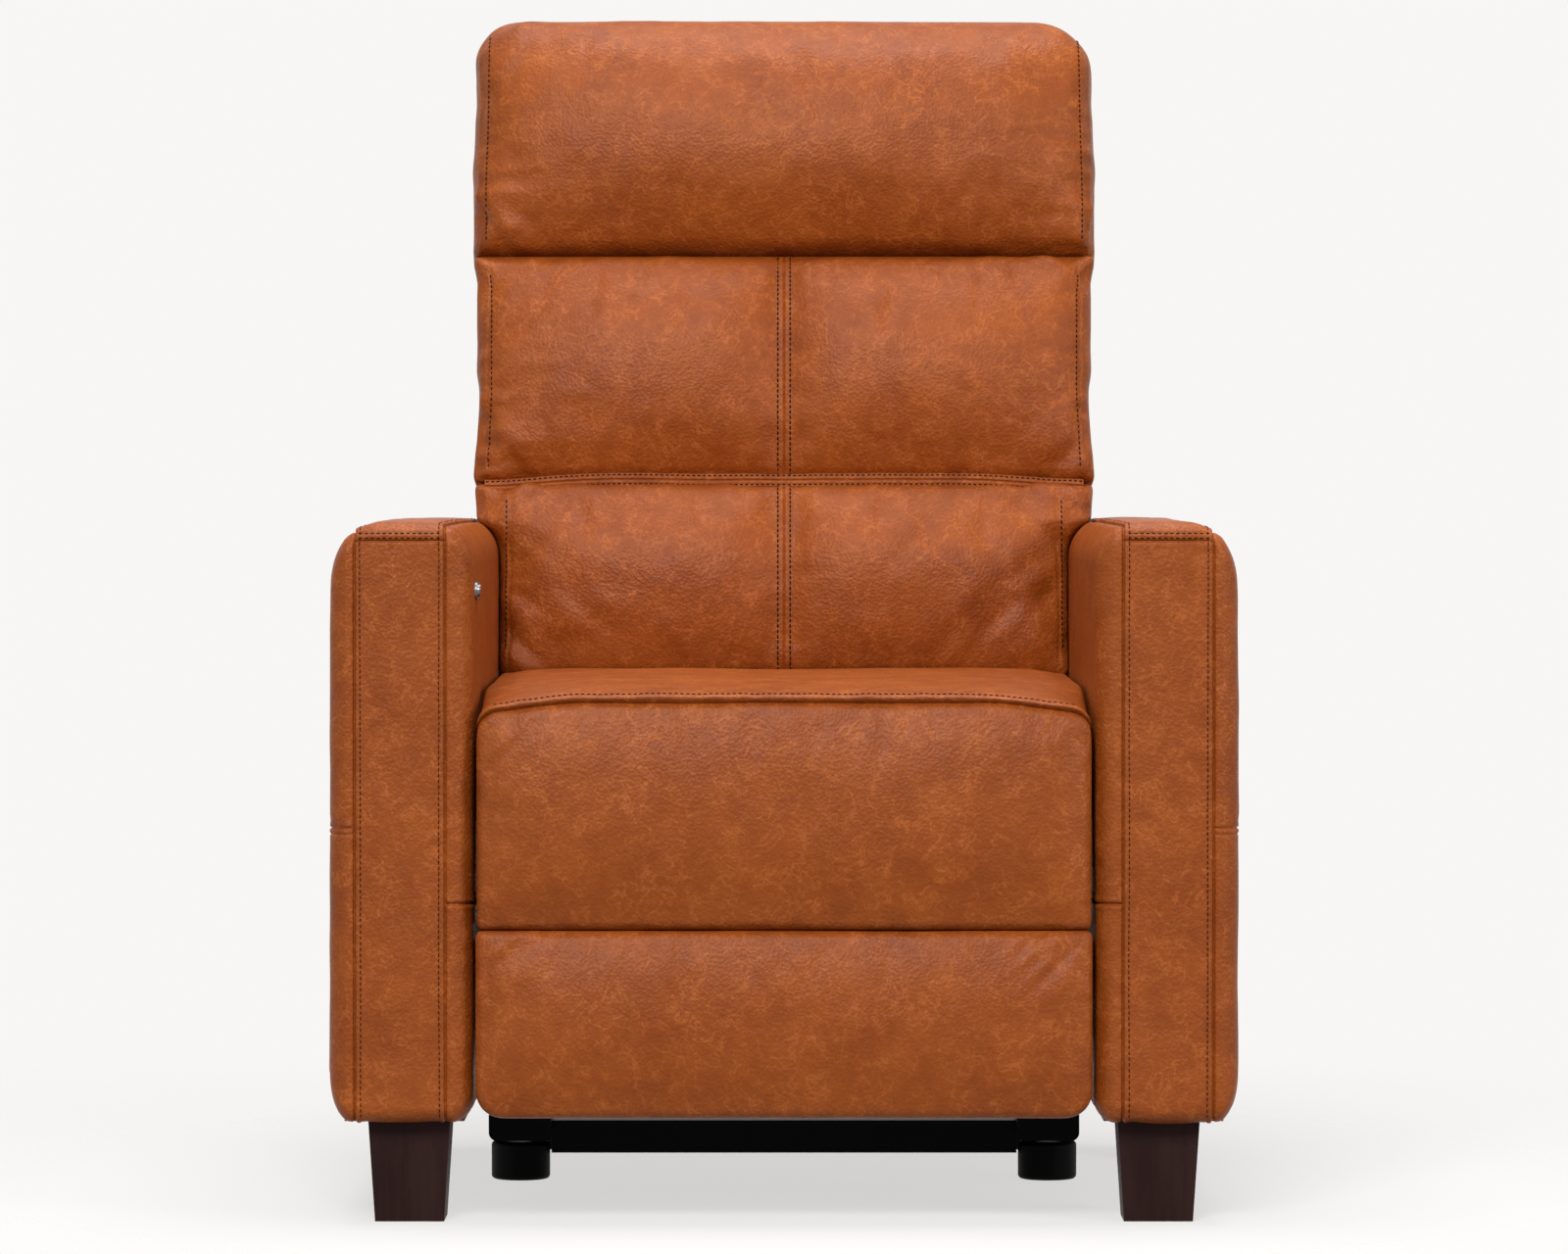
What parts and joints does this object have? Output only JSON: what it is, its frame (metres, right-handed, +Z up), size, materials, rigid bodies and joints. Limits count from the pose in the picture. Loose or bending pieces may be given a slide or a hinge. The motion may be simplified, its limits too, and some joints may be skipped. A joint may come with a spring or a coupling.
{
  "type": "power recliner armchair",
  "caption": "Leather armchair with padded arms, a back in sewn sections that reclines, a footrest on folding links and electric drives.",
  "frame": {"origin": "on the floor, under the middle of the chair's outline", "axes": "+Z up, +Y to the rear of the chair, +X to the right as seen from the front"},
  "size_m": [0.7868, 0.8938, 1.0849],
  "materials": {
    "leather": "tan leather, soft sheen",
    "frame_wood": "plain sawn timber",
    "leg_wood": "dark stained, satin",
    "black_steel": "black powder coat",
    "bright_steel": "zinc plated",
    "black_plastic": "black, matt",
    "chrome": "polished"
  },
  "bodies": {
    "base": {"arm_bolts": "bright_steel", "arm_cover_left": "leather", "arm_cover_right": "leather", "arm_frame_left": "frame_wood", "arm_frame_right": "frame_wood", "back_motor": "black_plastic", "base_feet": "black_plastic", "base_foot_bolts": "bright_steel", "base_front_tube": "black_steel", "base_rail_left": "black_steel", "base_rail_right": "black_steel", "base_rear_tube": "black_steel", "drive_cross_tube": "black_steel", "footrest_motor": "black_plastic", "leg_bolts": "bright_steel", "leg_front_left": "leg_wood", "leg_front_right": "leg_wood", "leg_rear_left": "leg_wood", "leg_rear_right": "leg_wood", "plate_pins": "bright_steel", "power_inlet": "black_plastic", "seat_cushion": "leather", "seat_frame": "frame_wood", "seat_front_pad": "leather", "seat_springs": "bright_steel", "side_plate_left": "black_steel", "side_plate_right": "black_steel", "switch_bezel": "chrome"},
    "front_links": {"front_link_left": "black_steel", "front_link_right": "black_steel", "torque_tube": "black_steel", "front_link_pins": "bright_steel", "footrest_crank": "black_steel"},
    "rear_links": {"rear_link_left": "black_steel", "rear_link_right": "black_steel"},
    "outer_links": {"outer_link_left": "black_steel", "outer_link_right": "black_steel", "outer_link_pins": "bright_steel"},
    "inner_links": {"inner_link_left": "black_steel", "inner_link_right": "black_steel"},
    "footrest": {"footrest_bracket_left": "black_steel", "footrest_bracket_right": "black_steel", "footrest_board": "frame_wood", "footrest_pad": "leather", "footrest_pins": "bright_steel"},
    "back": {"back_frame": "frame_wood", "back_springs": "bright_steel", "head_cushion": "leather", "mid_cushion": "leather", "lower_cushion": "leather", "back_cover": "leather", "back_bracket_left": "black_steel", "back_bracket_right": "black_steel", "back_bolts": "bright_steel", "back_lugs": "black_steel"},
    "footrest_drive": {"footrest_rod": "bright_steel"},
    "back_drive": {"back_rod": "bright_steel"},
    "open_button": {"open_button": "chrome"},
    "close_button": {"close_button": "chrome"}
  },
  "joints": [
    {"name": "footrest_swing", "type": "hinge", "parent": "base", "child": "front_links", "pos_m": [0, -0.185, 0.33], "axis": [-1, 0, 0], "range_deg": [0, 88]},
    {"name": "rear_link_swing", "type": "hinge", "parent": "base", "child": "rear_links", "pos_m": [0, -0.107, 0.326], "axis": [-1, 0, 0], "range_deg": [0, 88]},
    {"name": "outer_link_fold", "type": "hinge", "parent": "front_links", "child": "outer_links", "pos_m": [0, -0.05782, 0.12647], "axis": [-1, 0, 0], "range_deg": [-88, 0]},
    {"name": "inner_link_fold", "type": "hinge", "parent": "front_links", "child": "inner_links", "pos_m": [0, -0.03344, 0.08746], "axis": [-1, 0, 0], "range_deg": [-88, 0]},
    {"name": "footrest_turn", "type": "hinge", "parent": "outer_links", "child": "footrest", "pos_m": [0, -0.296, 0.228], "axis": [-1, 0, 0], "range_deg": [0, 88]},
    {"name": "footrest_rod_slide", "type": "slide", "parent": "base", "child": "footrest_drive", "axis": [0, -1, 0], "range_m": [0, 0.0651]},
    {"name": "back_recline", "type": "hinge", "parent": "base", "child": "back", "pos_m": [0, 0.22, 0.4], "axis": [-1, 0, 0], "range_deg": [0, 35]},
    {"name": "back_rod_slide", "type": "slide", "parent": "base", "child": "back_drive", "axis": [0, -1, 0], "range_m": [0, 0.068]},
    {"name": "open_press", "type": "slide", "parent": "base", "child": "open_button", "axis": [-1, 0, 0], "range_m": [0, 0.0015], "stiffness_N_per_m": 600},
    {"name": "close_press", "type": "slide", "parent": "base", "child": "close_button", "axis": [-1, 0, 0], "range_m": [0, 0.0015], "stiffness_N_per_m": 600}
  ],
  "couplings": [
    {"joint": "rear_link_swing", "follows": "footrest_swing", "ratio": 1},
    {"joint": "outer_link_fold", "follows": "footrest_swing", "ratio": -1},
    {"joint": "inner_link_fold", "follows": "footrest_swing", "ratio": -1},
    {"joint": "footrest_turn", "follows": "footrest_swing", "ratio": 1},
    {"joint": "footrest_rod_slide", "follows": "footrest_swing", "m_per_rad": 0.042373},
    {"joint": "back_rod_slide", "follows": "back_recline", "m_per_rad": 0.11125}
  ]
}
